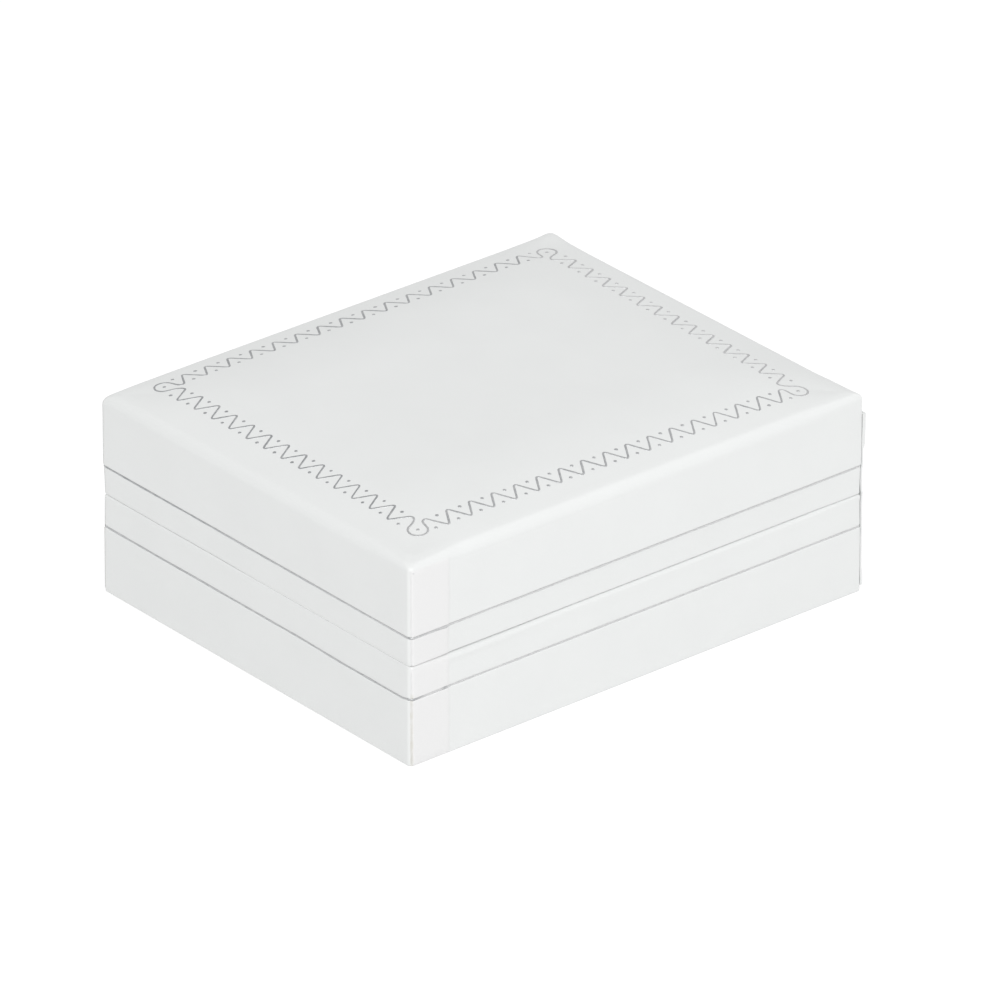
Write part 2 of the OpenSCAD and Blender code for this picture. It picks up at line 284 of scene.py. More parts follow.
def ring_points(inset, corner_r):
    """The columns on a rounded rectangle at this inset, or one inset each: (x, y, outward x, outward y)."""
    out = []
    for (side, g), t in zip(EDGE, np.broadcast_to(np.asarray(inset, float), (len(EDGE),))):
        r = corner_r * CORNER_SHARE[corner_of(side, g)]
        along, across = (W, D) if side in (FRONT, BACK) else (D, W)
        h0 = along / 2 - GRID_IN
        c = h0 - abs(g)
        s = 1 if g >= 0 else -1
        straight = along / 2 - t - r
        if c >= 4:
            u, v, a = g, across / 2 - t, 0.0
        elif c >= 1:
            u = s * ((h0 - 4) + (4 - c) / 3 * (straight - (h0 - 4)))
            v, a = across / 2 - t, 0.0
        else:
            a = math.radians(45) * (1 - c)
            u = s * (straight + r * math.sin(a))
            v = across / 2 - t - r + r * math.cos(a)
        p, q = s * math.sin(a), math.cos(a)
        at = {FRONT: (u, -v, p, -q), RIGHT: (v, u, q, p), BACK: (u, v, p, q), LEFT: (-v, u, -q, p)}
        out.append(at[side])
    return np.array(out)


def wall_relief(points, z, lid):
    """How far the walls stand out: the folded-over flaps, the mitre seams and a slight waviness."""
    x, y, nx, ny = points.T
    side_face = np.abs(nx) > 0.72
    from_front = y + D / 2
    flap = np.where(side_face & (y < 0), 1 - fade(FLAP_Y - 0.35, FLAP_Y + 0.25, from_front), 0.0) * 0.1
    angle = np.degrees(np.arctan2(-ny, np.abs(nx)))
    mitre = np.where(y < 0, bell(angle - 31, 4.6), 0.0) * np.where(x > 0, -0.13, -0.08)
    # small nicks at the two ends of the mitre on the front right corner
    corner = side_face & (x > 0) & (y < 0)
    if abs(z - (SHOULDER_Z - 0.25)) < 0.08:
        mitre = mitre - 0.3 * np.where(corner, bell(angle - 10, 6.0), 0.0)
    if z < 1.6:
        mitre = mitre - 0.12 * np.where((x > 0) & (y < 0), bell(angle - 31, 5.0), 0.0)
    back = np.degrees(np.arctan2(ny, np.abs(nx)))
    mitre_back = np.where(y > 0, bell(back - 31, 5.0), 0.0) * -0.05
    places = np.column_stack([x, y, np.full(len(x), z)])
    return flap + mitre + mitre_back + soft_noise(places, 14.0, 3.1 if lid else 7.7) * 0.02


def quarter(r, steps):
    """(across, down) along a quarter of a circle of radius r that starts upright."""
    turns = [math.pi / 2 * i / steps for i in range(steps + 1)]
    return [(r - r * math.cos(a), r - r * math.sin(a)) for a in turns]


def turned_in(rim, up):
    """(inset, height) from under a rim round its inner edge and along the inside of the wall."""
    rows = [(2.02, 0.0), (2.2, 0.09)] + [(TURN_INSET, rise) for rise in (0.32, 1.4, 3.2, TURN_IN)]
    return [(t, rim + up * rise) for t, rise in rows]


def lid_profile():
    """(inset, height, share of the corner's extra drop, turn of the shoulder) from the grid's edge outwards,
    down the wall and up inside."""
    rows = [(t, TOP - float(drop(t)), 1.0, None) for t in (2.6, 2.2, 1.8)]
    first = math.asin((CROWN_RUN - CROWN_EDGE) / CROWN_R)
    for i in range(11):
        a = first + (math.pi / 2 - first) * i / 10
        rows.append((SHOULDER_R - SHOULDER_R * math.sin(a), SHOULDER_Z + SHOULDER_R * math.cos(a), 1.0, a))
    wall = [SHOULDER_Z - 0.1, SHOULDER_Z - 0.25, SHOULDER_Z - 0.4]
    wall += [31.2, 30.2, 29.0, 27.6, 26.2, 25.0, 24.0, 23.1, 22.4, 22.0]
    rows += [(0.0, z, 1 - fade(0, SHOULDER_Z - 25.5, SHOULDER_Z - z), None) for z in wall]
    # the groove of the foil line and the band below it
    line, band = LID_LINE, LID_BAND
    lower = [(0.0, line + 0.36), (0.01, line + 0.28), (0.05, line + 0.22), (0.1, line + 0.18), (0.12, line),
             (0.12, line - 0.18)]
    lower += [(band - less, line - fall) for less, fall in
              ((0.05, 0.24), (0.06, 0.5), (0.05, 1.3), (0.03, 2.3), (0.01, 3.3))] + [(band, RIM_LID + 0.6)]
    lower += [(band + t, RIM_LID + rise) for t, rise in quarter(LID_RIM_R, 4)]
    lower += [(1.1, RIM_LID), (1.6, RIM_LID)] + turned_in(RIM_LID, 1)
    return rows + [(t, z, 0, None) for t, z in lower]


def base_profile():
    """(inset, height, turn of the rim) from inside the rim, over it, down the wall and under the floor."""
    line, band = BASE_LINE, BASE_BAND
    rows = [(t, z, None) for t, z in turned_in(RIM_BASE, -1)[::-1] + [(1.6, RIM_BASE)]]
    rows += [(band, RIM_BASE, math.pi / 2 * i / 8) for i in range(9)]
    lower = [(band + 0.05 - 0.01 * k, z) for k, z in enumerate((15.2, 14.4, 13.6, 12.8, 12.2))]
    lower += [(band + 0.01, line + 0.4), (band + 0.02, line + 0.28), (0.1, line + 0.18), (0.12, line),
              (0.1, line - 0.18), (0.05, line - 0.22), (0.01, line - 0.28), (0.0, line - 0.36)]
    lower += [(0.0, z) for z in (10.4, 9.4, 8.0, 6.5, 5.0, 3.6, 2.4, 1.4, 0.7)]
    lower += [(t, 0.02 + z) for t, z in quarter(0.22, 4)]
    lower += [(0.7, 0.02), (1.05, 0.05), (1.3, UNDER - 0.04)]
    lower += [(t, UNDER + 0.01) for t in (1.6, 2.5, 4.5, TURN_UNDER)]
    return rows + [(t, z, None) for t, z in lower]


def seam_open():
    """How far the seam gapes at each column, 0 to 1: it closes along the front towards the right corner."""
    at = {FRONT: lambda g: 1 - 0.65 * fade(-5, -0.5, g) - 0.3 * fade(3, 16, g),
          RIGHT: lambda g: 0.45 + 0.55 * fade(-38.5, -35, g) - 0.42 * fade(-17, -11, g)}
    return np.array([at[side](g) if side in at else 1.0 for side, g in EDGE])


def line_sag(points):
    """On the front the base's foil line runs a little low towards the right corner."""
    x = points[:, 0]
    return np.where(points[:, 3] < -0.9, -0.19 * fade(8, 22, x) * (1 - fade(34.6, 35.6, x)), 0.0)


def rim_roll():
    """How round the base's upper edge is at each column: tight along the front, rounder at the right."""
    out = []
    for (side, g), gape in zip(EDGE, seam_open()):
        if side == FRONT:
            out.append(0.04 + 0.32 * gape)
        elif side == RIGHT:
            near = 0.35 * fade(-41, -36, g) + 0.35 * (fade(-40, -34, g) - fade(-28, -14, g))
            out.append(0.5 + near - 0.3 * fade(32, 40, g))
        else:
            out.append(0.45)
    return np.array(out)


def corner_radius(t):
    """The corner's radius at inset t: the upright corners are tighter than the corner of the padded top."""
    if t >= TURN_INSET - 0.2:
        return 0.5
    if t >= SHOULDER_R:
        return max(0.4, CORNER_R + 0.5 - 0.9 * (t - SHOULDER_R))
    return CORNER_R + 0.5 * fade(0.0, 1.0, t)


def notch(points, z, lid):
    """The hinge lies in a notch of the two back rims, so there the rim is higher or lower."""
    behind = (points[:, 3] > 0.9) & (points[:, 1] > 0)
    deep = np.where(behind & (np.abs(points[:, 0]) < HINGE_HALF), 1.15, np.where(behind, 0.3, 0.0))
    if lid:
        return deep * (1 - np.clip((z - (RIM_LID + 0.6)) / (LID_LINE - 1.0 - RIM_LID), 0, 1))
    return -deep * (1 - np.clip((RIM_BASE - 0.9 - z) / 4.0, 0, 1))


def leather_piece(name, verts, faces, flaps, worn):
    """A leatherette mesh with its thickness and the places of its flaps and its wear."""
    piece = make_mesh(name, verts, faces)
    outward(piece)
    tint(piece, flaps, "flap")
    tint(piece, worn, "worn")
    solidify(piece, SKIN)
    return piece


def wall_row(p, relief, height):
    """One row of a wall's points, standing out by the relief."""
    return np.column_stack([p[:, 0] + p[:, 2] * relief, p[:, 1] + p[:, 3] * relief, height])


def on_flap(p, t):
    return (np.abs(p[:, 2]) > 0.75) & (p[:, 1] < FLAP_AT) & (t < ON_WALL)


def build_lid_skin():
    nx, ny = len(GX), len(GY)
    gx, gy = np.meshgrid(GX, GY, indexing="ij")
    flat = grid_points(gx, gy, crown(gx, gy)[0])
    flat[:, 2] += soft_noise(flat, 17.0, 1.3) * 0.025
    rows, faces, ring = [flat], grid_faces(nx, ny), grid_rim(nx, ny)
    flaps = [np.zeros(nx * ny)]
    n = len(ring)
    # the leather is folded tighter over the shoulder near the corners, and most at the right
    share_at = np.array([1.0 if corner_of(side, g)[0] > 0 else 0.35 for side, g in EDGE])
    local = SHOULDER_R - 0.75 * (1 - fade(0.8, 8.0, from_corner() - GRID_IN)) * share_at
    lift = (SHOULDER_R - local) * SHOULDER_LIFT
    right = np.array([float(side == RIGHT) for side, g in EDGE]) * fade(4.5, 9, from_corner())
    gapes = seam_open()
    rolled = np.array([0.2 + 0.8 * gapes[k] if EDGE[k][0] == FRONT else 1.0 for k in range(n)])
    for t, z, share, turn in lid_profile():
        inset, height = t, np.full(n, z)
        if turn is not None:
            inset = local * (1 - math.sin(turn))
            height = SHOULDER_Z + lift + local * math.cos(turn)
        elif t == 0.0 and z > LID_LINE + 1:
            height = z + lift * fade(SHOULDER_Z - 6, SHOULDER_Z, z)
        if t < 1.0 and z < LID_LINE - 0.3:
            inset = t + 0.1 * right * (1 - fade(RIM_LID + 0.5, LID_LINE - 0.4, z) * 0.5)
        if t < 1.0 and z < RIM_LID + 0.2:
            inset = inset - (t - LID_BAND) * (1 - rolled)
            height = RIM_LID + (z - RIM_LID) * rolled
        height = height - SEAM_CLOSES * (1 - gapes) * (1 - fade(RIM_LID, RIM_LID + 3, z))
        p = ring_points(inset, corner_radius(t))
        relief = wall_relief(p, z, True) * (t < ON_WALL and z < SHOULDER_Z + 1.2)
        relief = relief * (1 - fade(SHOULDER_Z - 0.5, SHOULDER_Z + 1.4, z))
        extra = crown(p[:, 0], p[:, 1])[1] * share
        start = sum(len(row) for row in rows)
        rows.append(wall_row(p, relief, height - extra + notch(p, z, True)))
        flaps.append(on_flap(p, t) & (z < SHOULDER_Z + 0.4))
        after = list(range(start, start + n))
        faces += band_faces(ring, after)
        ring = after
    verts = np.vstack(rows)
    return leather_piece("lid_leatherette", verts, faces, np.concatenate(flaps), np.zeros(len(verts)))


def build_base_skin():
    rows, faces, flaps, worn = [], [], [], []
    n = len(EDGE)
    roll, gapes = rim_roll(), seam_open()
    for t, z, turn in base_profile():
        inset, height = t, np.full(n, z)
        if turn is not None:
            inset = t + roll * (1 - math.sin(turn))
            height = z - roll * (1 - math.cos(turn))
        p = ring_points(inset, corner_radius(t))
        height = height + SEAM_CLOSES * (1 - gapes) * fade(RIM_BASE - 3, RIM_BASE, z)
        if t < ON_WALL:
            height = height + line_sag(p) * bell(z - BASE_LINE, 0.9)
        relief = wall_relief(p, z, False) * float(t < ON_WALL and z > UNDER + 0.3)
        relief = relief * (1 - fade(RIM_BASE - 0.9, RIM_BASE - 0.1, z))
        rows.append(wall_row(p, relief, height + notch(p, z, False)))
        flaps.append(on_flap(p, t))
        by_front_corner = (np.abs(p[:, 2]) > 0.7) & (p[:, 3] < -0.3)
        worn.append(by_front_corner & (t < ON_WALL) & (z < BASE_LINE + 0.5))
        if len(rows) > 1:
            start = (len(rows) - 2) * n
            faces += band_faces(list(range(start, start + n)), list(range(start + n, start + 2 * n)))
    flaps, worn = np.concatenate(flaps), np.concatenate(worn)
    return leather_piece("base_leatherette", np.vstack(rows), faces, flaps, worn)


# ---------- foil ----------

BORDER_IX, BORDER_IY = 6.2, 7.3
BX, BY = W / 2 - BORDER_IX, D / 2 - BORDER_IY
WAVES_X, WAVES_Y = 13, 16
WAVE_AMP, WAVE_W, DOT_D = 1.5, 0.32, 0.54
LINE_W, LINE_DEEP = 0.29, 0.055
LEAD_X, LEAD_Y, LOOP_R, DOTS = 3.1, 2.45, 1.5, 1.2
BORDER_TURN, BORDER_X, BORDER_Y, BORDER_SKEW = math.radians(-0.95), -0.43, 0.43, -0.00024


def on_lid(p):
    """A point of the border turned and moved to where it was stamped."""
    p = np.asarray(p, float)
    x, y = turned(p[:, 0], p[:, 1], BORDER_TURN)
    return np.column_stack([x + BORDER_X, y + BORDER_Y + BORDER_SKEW * p[:, 0] * p[:, 1]])


def rubbed_at(x, y):
    """How far the foil of the border has worn thin: most along the back, least at the front left."""
    x, y = np.asarray(x, float), np.asarray(y, float)
    share = np.maximum(0.3 * fade(BX - 4, BX - 2.4, x), 0.7 * fade(BY - 4, BY - 2.4, y))
    share = np.maximum(share, 0.15 * fade(BX - 4, BX - 2.4, -x) * fade(-BY, 0, y))
    return np.maximum(share, 0.6 * (1 - fade(3.5, 6.0, np.hypot(x - BX, y + BY))))


def rounded_wave(a):
    return (np.cos(a) + 0.07 * np.cos(3 * a)) / 1.07


def bezier(p, q, r, s, t):
    p, q, r, s = (np.array(v, float) for v in (p, q, r, s))
    return p * (1 - t) ** 3 + 3 * q * t * (1 - t) ** 2 + 3 * r * t * t * (1 - t) + s * t**3


def leg(lead, t):
    a = math.radians(20)
    into = (-LOOP_R * math.cos(a), LOOP_R * math.sin(a))
    return bezier((-lead, -WAVE_AMP), (-lead + 0.9, -WAVE_AMP),
                  (into[0] - 0.8 * math.sin(a), into[1] - 0.8 * math.cos(a)), into, t)


def wave_path():
    steps = 18
    path = []
    for k in range(4):
        short = k % 2 == 0
        hx, hy, n = (BX, BY, WAVES_X) if short else (BY, BX, WAVES_Y)
        here, following = (LEAD_X, LEAD_Y) if short else (LEAD_Y, LEAD_X)
        part = []
        for i in range(n * steps + 1):
            part.append((-hx + here + i * (2 * hx - 2 * here) / (n * steps),
                         hy - WAVE_AMP * rounded_wave(i * 2 * math.pi / steps)))
        for i in range(1, 9):
            q = leg(here, i / 8)
            part.append((q[0] + hx, q[1] + hy))
        for i in range(1, 30):
            a = math.radians(160 - i * 230 / 30)
            part.append((LOOP_R * math.cos(a) + hx, LOOP_R * math.sin(a) + hy))
        for i in range(8, 0, -1):
            q = leg(following, i / 8)
            part.append((q[1] + hx, q[0] + hy))
        path.append(np.column_stack(turned(*np.array(part).T, -math.pi / 2 * k)))
    return np.vstack(path)


def build_wave():
    path = on_lid(wave_path())
    n = len(path)
    ahead = directions(path)
    side = np.column_stack([-ahead[:, 1], ahead[:, 0]])
    wide = WAVE_W / 2 * (1 + 0.12 * soft_noise(np.column_stack([path, np.zeros(n)]), 2.2, 5.0))
    half = [(1.12, -0.06), (1.0, 0.012), (0.55, 0.026), (0, 0.03)]
    cross = half + [(-u, h) for u, h in half[2::-1]]
    verts = []
    for i in range(n):
        for u, h in cross:
            q = path[i] + side[i] * wide[i] * u
            verts.append((q[0], q[1], lid_surface(q[0], q[1]) + h))
    piece = make_mesh("foil_border_wave", verts, tube_faces(n, len(cross)))
    outward(piece)
    tint(piece, np.repeat(rubbed_at(path[:, 0], path[:, 1]), len(cross)), "rubbed")
    return piece


def dot_places():
    out = [(s * BX, u * BY) for s in (-1, 1) for u in (-1, 1)]
    step_x, step_y = (2 * BX - 2 * LEAD_X) / WAVES_X, (2 * BY - 2 * LEAD_Y) / WAVES_Y
    for s in (-1, 1):
        out += [(-BX + LEAD_X + i * step_x, s * (BY + DOTS)) for i in range(WAVES_X + 1)]
        out += [(-BX + LEAD_X + (i + 0.5) * step_x, s * (BY - DOTS)) for i in range(WAVES_X)]
        out += [(s * (BX + DOTS), -BY + LEAD_Y + i * step_y) for i in range(WAVES_Y + 1)]
        out += [(s * (BX - DOTS), -BY + LEAD_Y + (i + 0.5) * step_y) for i in range(WAVES_Y)]
    return np.array(out)


def build_dots():
    verts, faces = [], []
    sides = 14
    for cx, cy in on_lid(dot_places()):
        start = len(verts)
        size = DOT_D / 2 * (1 + 0.1 * float(soft_noise([(cx, cy, 0)], 1.3, 2.0)[0]))
        for r, h in ((1.1, -0.06), (1.0, 0.014), (0.6, 0.034)):
            for i in range(sides):
                a = 2 * math.pi * i / sides
                x, y = cx + size * r * math.cos(a), cy + size * r * math.sin(a)
                verts.append((x, y, lid_surface(x, y) + h))
        verts.append((cx, cy, lid_surface(cx, cy) + 0.04))
        verts.append((cx, cy, lid_surface(cx, cy) - 0.06))
        upper, tip = start + 2 * sides, start + 3 * sides
        for i in range(sides):
            j = (i + 1) % sides
            for a in (start, start + sides):
                faces.append((a + i, a + j, a + sides + j, a + sides + i))
            faces += [(upper + i, upper + j, tip), (start + j, start + i, tip + 1)]
    piece = make_mesh("foil_border_dots", verts, faces)
    outward(piece)
    places = np.array(verts)
    tint(piece, rubbed_at(places[:, 0], places[:, 1]), "rubbed")
    return piece


def build_side_line(name, z, seed):
    """A stamped line round the front and both sides, with its ends under the strip on the back."""
    last = W / 2 - GRID_IN - 0.9
    first = next(k for k, (side, g) in enumerate(EDGE) if side == BACK and g < -last)
    order = [k for k in [*range(first, len(EDGE)), *range(first)]
             if EDGE[k][0] != BACK or abs(EDGE[k][1]) > last]
    outer = ring_points(0.04, CORNER_R)[order]
    dense = []
    for a, b in zip(outer, outer[1:]):
        parts = max(1, int(np.linalg.norm(a[:2] - b[:2]) / 0.5))
        dense += [a * (1 - j / parts) + b * (j / parts) for j in range(parts)]
    dense = np.array(dense)
    m = len(dense)
    on_lid_wall = z > SEAM
    relief = wall_relief(dense, z, on_lid_wall)
    places = np.column_stack([dense[:, 0], dense[:, 1], np.full(m, z)])
    wobble = soft_noise(places, 7.0, seed) * 0.03
    if not on_lid_wall:
        wobble = wobble + line_sag(dense)
    half = LINE_W / 2 * (1 + 0.25 * soft_noise(places, 3.0, seed + 4))
    # the foil of the front is broader and fainter away from the left corner
    front = (dense[:, 3] < -0.9) * (fade(-16, -4, dense[:, 0]) if on_lid_wall else 1.0)
    half *= 1 + 0.1 * front
    from_front = dense[:, 1] + D / 2
    near = np.where(np.abs(dense[:, 2]) > 0.75, 1 - fade(FLAP_Y - 0.5, FLAP_Y + 0.4, from_front), 0.0)
    half *= 1 + 0.3 * near
    # the foil has gathered at the end of the folded-over flap
    gathered, reach = (0.8, 1.3) if on_lid_wall else (0.9, 0.5)
    end = np.where(dense[:, 2] > 0.75, bell(from_front - FLAP_Y + 0.7, reach), 0.0)
    half *= 1 + gathered * end
    cross = [(-0.03, -1.0), (0.02, -0.9), (0.04, 0.0), (0.02, 0.9), (-0.03, 1.0), (-0.25, 0.0)]
    verts = []
    for i in range(m):
        for o, h in cross:
            x, y = dense[i, :2] + dense[i, 2:] * (relief[i] + o - LINE_DEEP)
            verts.append((x, y, z + wobble[i] + h * half[i]))
    c = len(cross)
    faces = tube_faces(m, c, False) + [tuple(range(c)), tuple((m - 1) * c + k for k in reversed(range(c)))]
    piece = make_mesh(name, verts, faces)
    outward(piece)
    share = fade(0.6, 0.9, np.abs(dense[:, 2]))
    if on_lid_wall:
        share = share * (1 - 0.3 * near) + front * (0.4 + 0.2 * fade(8, 24, dense[:, 0]))
    else:
        by_corner = np.where(dense[:, 2] > 0.6, 1 - fade(1.0, 3.5, from_front), 0.0)
        share = share * (1 - 0.8 * end) * (1 - 0.7 * by_corner) + front * 0.4
    tint(piece, np.repeat(share, c), "rubbed")
    return piece


# ---------- the strip over the hinge ----------

def build_spine():
    low, high = box_mm("spine_strip")
    half = W / 2 - 0.06
    heights = [np.linspace(low[2], SEAM - 3, 22), np.linspace(SEAM - 3, SEAM + 3, 41)]
    heights.append(np.linspace(SEAM + 3, high[2], 26))
    zs = sorted(set(round(float(v), 3) for v in np.concatenate(heights)))
    xs = np.concatenate([[-half + 0.42], np.linspace(-half + 0.8, half - 0.8, 80), [half - 0.3, half]])
    gx, gz = np.meshgrid(xs, zs, indexing="ij")
    # it bulges over the hinge, and its upper right corner has lifted
    bulge = 0.72 * np.exp(-(((gz - SEAM) / 1.35) ** 4) * 0.8) * (1 - 0.93 * fade(28, 34, np.abs(gx)))
    stand = D / 2 + 0.03 + bulge
    stand += fade(half - 9, half, gx) * 0.08 * fade(24.5, 28.5, gz)
    # towards its ends the strip follows the set-in bands on both sides of the seam
    set_in = 0.12 * (fade(SEAM, SEAM + 0.6, gz) - fade(LID_LINE - 0.5, LID_LINE + 0.4, gz))
    set_in += 0.05 * (fade(BASE_LINE - 0.3, BASE_LINE + 0.5, gz) - fade(SEAM - 0.6, SEAM, gz))
    stand -= set_in * fade(30, 35, np.abs(gx))
    stand += fade(half - 14, half, np.abs(gx)) * 0.1 * (1 - fade(low[2] + 0.3, low[2] + 3.4, gz))
    p = grid_points(gx, stand, gz)
    wavy = fade(SEAM + 1.2, SEAM + 4.0, p[:, 2]) + 1 - fade(SEAM - 4.0, SEAM - 1.2, p[:, 2])
    p[:, 1] += np.abs(soft_noise(p * [1, 0, 1], 9.0, 11.0)) * 0.06 * wavy
    piece = make_mesh("spine_leatherette", p, [(a, d, c, b) for a, b, c, d in grid_faces(len(xs), len(zs))])
    outward(piece)
    if piece.data.polygons[0].normal.y < 0:
        piece.data.flip_normals()
    m = len(p)
    solidify(piece, SPINE_T, 1.0)
    # the upper end is folded double near the right corner, and the lower end is a little thicker at both
    co = points_of(piece.data)
    outer = co[:m] if co[:m, 1].mean() > co[m:, 1].mean() else co[m:]
    x, z = outer[:, 0] / MM, outer[:, 2] / MM
    thicker = 0.36 * fade(24.0, 24.9, z) * fade(half - 12, half - 2, x)
    thicker += 0.1 * (1 - fade(3.4, 4.2, z)) * fade(half - 12, half - 2, np.abs(x))
    outer[:, 1] += thicker * MM
    move_points(piece.data, co)
    piece.data.set_sharp_from_angle(angle=math.radians(40))
    tint(piece, np.zeros(len(co)), "flap")
    tint(piece, np.zeros(len(co)), "worn")
    return piece


def build_spring():
    """The sprung wire loop against both hinge leaves: two arms joined by a rounded cross run at each end."""
    low, high = box_mm("hinge_spring")
    r = (high[1] - low[1]) / 2
    y = (low[1] + high[1]) / 2
    hx, z0, z1 = high[0] - r, low[2] + r, high[2] - r
    bend, arc_steps = 1.6, 8
    corners = [(hx - bend, z1 - bend), (bend - hx, z1 - bend), (bend - hx, z0 + bend), (hx - bend, z0 + bend)]
    # the straight run after each corner: its steps, and which way it lies from the corner's centre
    runs = ((8, (0, bend)), (22, (-bend, 0)), (8, (0, -bend)), (22, (bend, 0)))
    path = []
    for k, (steps, (out_x, out_z)) in enumerate(runs):
        cx, cz = corners[k]
        next_x, next_z = corners[(k + 1) % 4]
        for i in range(arc_steps + 1):
            a = math.radians(90 * (k + i / arc_steps))
            path.append((cx + bend * math.cos(a), y, cz + bend * math.sin(a)))
        for t in (i / steps for i in range(1, steps)):
            path.append((cx * (1 - t) + next_x * t + out_x, y, cz * (1 - t) + next_z * t + out_z))
    path = np.array(path)
    n, sides = len(path), 12
    up = np.array([0, 1.0, 0])
    verts = []
    for place, ahead in zip(path, directions(path)):
        side = np.cross(ahead, up)
        for k in range(sides):
            a = 2 * math.pi * k / sides
            verts.append(place + r * (side * math.cos(a) + up * math.sin(a)))
    piece = make_mesh("snap_spring", verts, tube_faces(n, sides))
    outward(piece)
    return piece


# ---------- soft pieces ----------

BACK_INSET = 0.4  # the satin's flat back is this much smaller than its front all round


def build_top_foam():
    """The foam between the moulded shell and the leatherette of the lid."""
    inset = SKIN + 0.03
    hx, hy = W / 2 - inset, D / 2 - inset
    r = SHOULDER_R - inset

    def spaced(half):
        near = np.array([0, 0.3, 0.7, 1.2, 1.8])
        along = np.concatenate([near - half, np.arange(3 - half, half - 2.9, 2.0), half - near])
        return np.unique(np.round(along, 4))

    def shoulder(d):
        c = np.clip(r - d, 0, r)
        return r - np.sqrt(np.maximum(r * r - c * c, 0))

    xs, ys = spaced(hx), spaced(hy)
    gx, gy = np.meshgrid(xs, ys, indexing="ij")
    z = crown(gx, gy)[0] - inset - 0.02
    z = z - shoulder(hx - np.abs(gx)) - shoulder(hy - np.abs(gy))
    top = grid_points(gx, gy, np.maximum(z, SHELL_TOP + 0.05))
    low = top.copy()
    low[:, 2] = SHELL_TOP + 0.005
    m = len(top)
    faces = []
    for quad in grid_faces(len(xs), len(ys)):
        faces += [quad, tuple(m + k for k in reversed(quad))]
    rim = grid_rim(len(xs), len(ys))
    faces += band_faces(rim, [m + k for k in rim])
    piece = make_mesh("lid_top_foam", np.vstack([top, low]), faces)
    outward(piece)
    return piece


def build_puff():
    """Satin over wadding inside the lid: a cushion under the ceiling, gathered along its edges."""
    low, high = box_mm("lid_lining_satin")
    hx, hy = high[0] - 0.12, high[1] - 0.12
    top, bottom = high[2], low[2]
    cell = 1.05
    nx, ny = int(2 * hx / cell), int(2 * hy / cell)
    xs, ys = np.linspace(-hx, hx, nx + 1), np.linspace(-hy, hy, ny + 1)
    gx, gy = np.meshgrid(xs, ys, indexing="ij")
    dx, dy = hx - np.abs(gx), hy - np.abs(gy)
    near = np.minimum(dx, dy).ravel()
    # the cushion's edge is high on the walls, and it is full 13 mm in
    full = 1 - (1 - np.clip(near / 13.0, 0, 1)) ** 2.4
    rest = grid_points(gx, gy, (top - 2.2) - (top - 2.2 - bottom - 0.25) * full)
    faces = [quad[::-1] for quad in grid_faces(nx + 1, ny + 1)]
    sheet = make_mesh("satin_sheet", rest, faces)
    gather(sheet, near)
    co = points_of(sheet.data) / MM
    old = sheet.data
    bpy.data.objects.remove(sheet)
    bpy.data.meshes.remove(old)
    # fine gathers where the satin is drawn over the card's edge
    around = np.where(dx.ravel() < dy.ravel(), rest[:, 1], rest[:, 0])
    lobe = np.sin(around * 2 * math.pi / 3.1 + 2.4 * soft_noise(rest, 6.0, 9.0))
    lobe += 0.5 * np.sin(around * 2 * math.pi / 1.7 + 3.0 * soft_noise(rest, 4.0, 19.0))
    reach = 5.0 + 1.8 * soft_noise(np.column_stack([around, around * 0, around * 0]), 5.0, 31.0)
    co[:, 2] += 0.32 * lobe * np.exp(-((near / reach) ** 1.5)) * (1 - bell(near, 0.9))
    co[:, 2] = np.clip(co[:, 2], bottom + 0.05, top)
    verts = [tuple(v) for v in co]

    def shrunk(k, less, z):
        return rest[k, 0] * (hx - less) / hx, rest[k, 1] * (hy - less) / hy, z

    rim = grid_rim(nx + 1, ny + 1)
    ring = rim
    for less, z in ((0.0, top - 1.6), (0.0, top - 0.75), (0.12, top - 0.25), (BACK_INSET, top - 0.05)):
        after = [len(verts) + k for k in range(len(rim))]
        verts += [shrunk(k, less, z) for k in rim]
        faces += [quad[2:] + quad[:2] for quad in band_faces(after, ring)]
        ring = after
    # a flat back of quads on the card
    at = dict(zip(rim, ring))
    for k in range(len(rest)):
        if k not in at:
            at[k] = len(verts)
            verts.append(shrunk(k, BACK_INSET, top - 0.05))
    faces += [tuple(at[k] for k in quad) for quad in grid_faces(nx + 1, ny + 1)]
    piece = make_mesh("lid_satin_puff", verts, faces)
    outward(piece)
    sub = piece.modifiers.new("smooth", "SUBSURF")
    sub.levels = sub.render_levels = 1
    apply_all(piece)
    return piece


